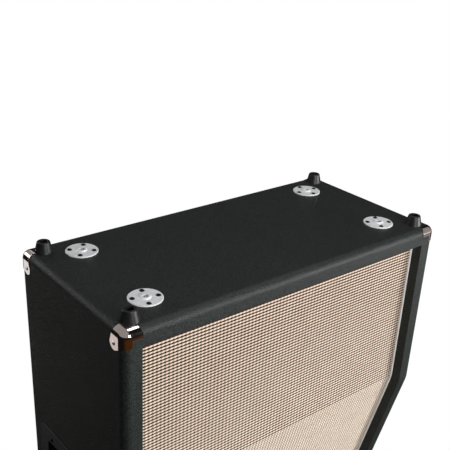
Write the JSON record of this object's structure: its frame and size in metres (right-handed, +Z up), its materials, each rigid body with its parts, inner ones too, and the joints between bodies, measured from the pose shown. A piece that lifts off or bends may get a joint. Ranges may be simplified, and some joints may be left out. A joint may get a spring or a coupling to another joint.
{
  "type": "guitar speaker cabinet",
  "caption": "Slant-fronted guitar speaker cabinet in black vinyl with a woven grille, bright corners, rubber feet, castor sockets, recessed handles and loudspeakers inside.",
  "frame": {"origin": "on the floor under the middle of the box", "axes": "+X to the right seen from the front, the grille faces -Y, +Z up; the cabinet stands on its feet"},
  "size_m": [0.7802, 0.3684, 0.7559],
  "materials": {
    "black_vinyl": "black grained vinyl covering, semi-matt",
    "grille_cloth": "cream woven cloth with rows of brown dashes",
    "white_piping": "smooth white cord",
    "nickel": "polished nickel plate on pressed steel",
    "zinc": "bright zinc plate",
    "rubber": "moulded black rubber",
    "black_plastic": "moulded black plastic",
    "black_screw": "black oxide",
    "black_steel": "black powder coat",
    "jack_plastic": "black moulded plastic",
    "wood": "bare birch plywood",
    "black_wood": "board painted black",
    "magnet": "ferrite and plated steel",
    "cone_paper": "pressed paper pulp",
    "suspension": "doped cloth",
    "lead_jacket": "twin lead"
  },
  "bodies": {
    "cabinet": {"back_panel": "black_vinyl", "back_panel_screws": "black_screw", "bottom_panel": "wood", "castor_socket_front_left": "zinc", "castor_socket_front_right": "zinc", "castor_socket_rear_left": "zinc", "castor_socket_rear_right": "zinc", "castor_socket_screws": "black_screw", "centre_post": "wood", "corner_bottom_front_left": "nickel", "corner_bottom_front_right": "nickel", "corner_bottom_rear_left": "nickel", "corner_bottom_rear_right": "nickel", "corner_screws": "nickel", "corner_top_front_left": "nickel", "corner_top_front_right": "nickel", "corner_top_rear_left": "nickel", "corner_top_rear_right": "nickel", "foot_front_left": "rubber", "foot_front_right": "rubber", "foot_rear_left": "rubber", "foot_rear_right": "rubber", "foot_screws": "zinc", "foot_washers": "zinc", "front_frame": "wood", "grille_cloth": "grille_cloth", "grille_piping": "white_piping", "handle_left": "black_plastic", "handle_right": "black_plastic", "handle_screws": "black_screw", "jack_nuts": "nickel", "jack_plate": "black_steel", "jack_plate_screws": "black_screw", "jack_sockets": "jack_plastic", "left_side_panel": "wood", "lower_baffle": "black_wood", "rear_battens": "wood", "right_side_panel": "wood", "speaker_basket_lower_left": "black_steel", "speaker_basket_lower_right": "black_steel", "speaker_basket_upper_left": "black_steel", "speaker_basket_upper_right": "black_steel", "speaker_bolts": "zinc", "speaker_leads": "lead_jacket", "speaker_magnet_lower_left": "magnet", "speaker_magnet_lower_right": "magnet", "speaker_magnet_upper_left": "magnet", "speaker_magnet_upper_right": "magnet", "speaker_suspension_lower_left": "suspension", "speaker_suspension_lower_right": "suspension", "speaker_suspension_upper_left": "suspension", "speaker_suspension_upper_right": "suspension", "top_panel": "wood", "upper_baffle": "black_wood", "vinyl_covering": "black_vinyl"},
    "cone_lower_left": {"speaker_cone_lower_left": "cone_paper"},
    "cone_lower_right": {"speaker_cone_lower_right": "cone_paper"},
    "cone_upper_left": {"speaker_cone_upper_left": "cone_paper"},
    "cone_upper_right": {"speaker_cone_upper_right": "cone_paper"}
  },
  "joints": [
    {"name": "cone_travel_lower_left", "type": "slide", "parent": "cabinet", "child": "cone_lower_left", "axis": [0, -1, 0], "range_m": [-0.004, 0.004], "stiffness_N_per_m": 5000, "deforming": ["speaker_suspension_lower_left"]},
    {"name": "cone_travel_lower_right", "type": "slide", "parent": "cabinet", "child": "cone_lower_right", "axis": [0, -1, 0], "range_m": [-0.004, 0.004], "stiffness_N_per_m": 5000, "deforming": ["speaker_suspension_lower_right"]},
    {"name": "cone_travel_upper_left", "type": "slide", "parent": "cabinet", "child": "cone_upper_left", "axis": [0, -0.9727, 0.2321], "range_m": [-0.004, 0.004], "stiffness_N_per_m": 5000, "deforming": ["speaker_suspension_upper_left"]},
    {"name": "cone_travel_upper_right", "type": "slide", "parent": "cabinet", "child": "cone_upper_right", "axis": [0, -0.9727, 0.2321], "range_m": [-0.004, 0.004], "stiffness_N_per_m": 5000, "deforming": ["speaker_suspension_upper_right"]}
  ]
}
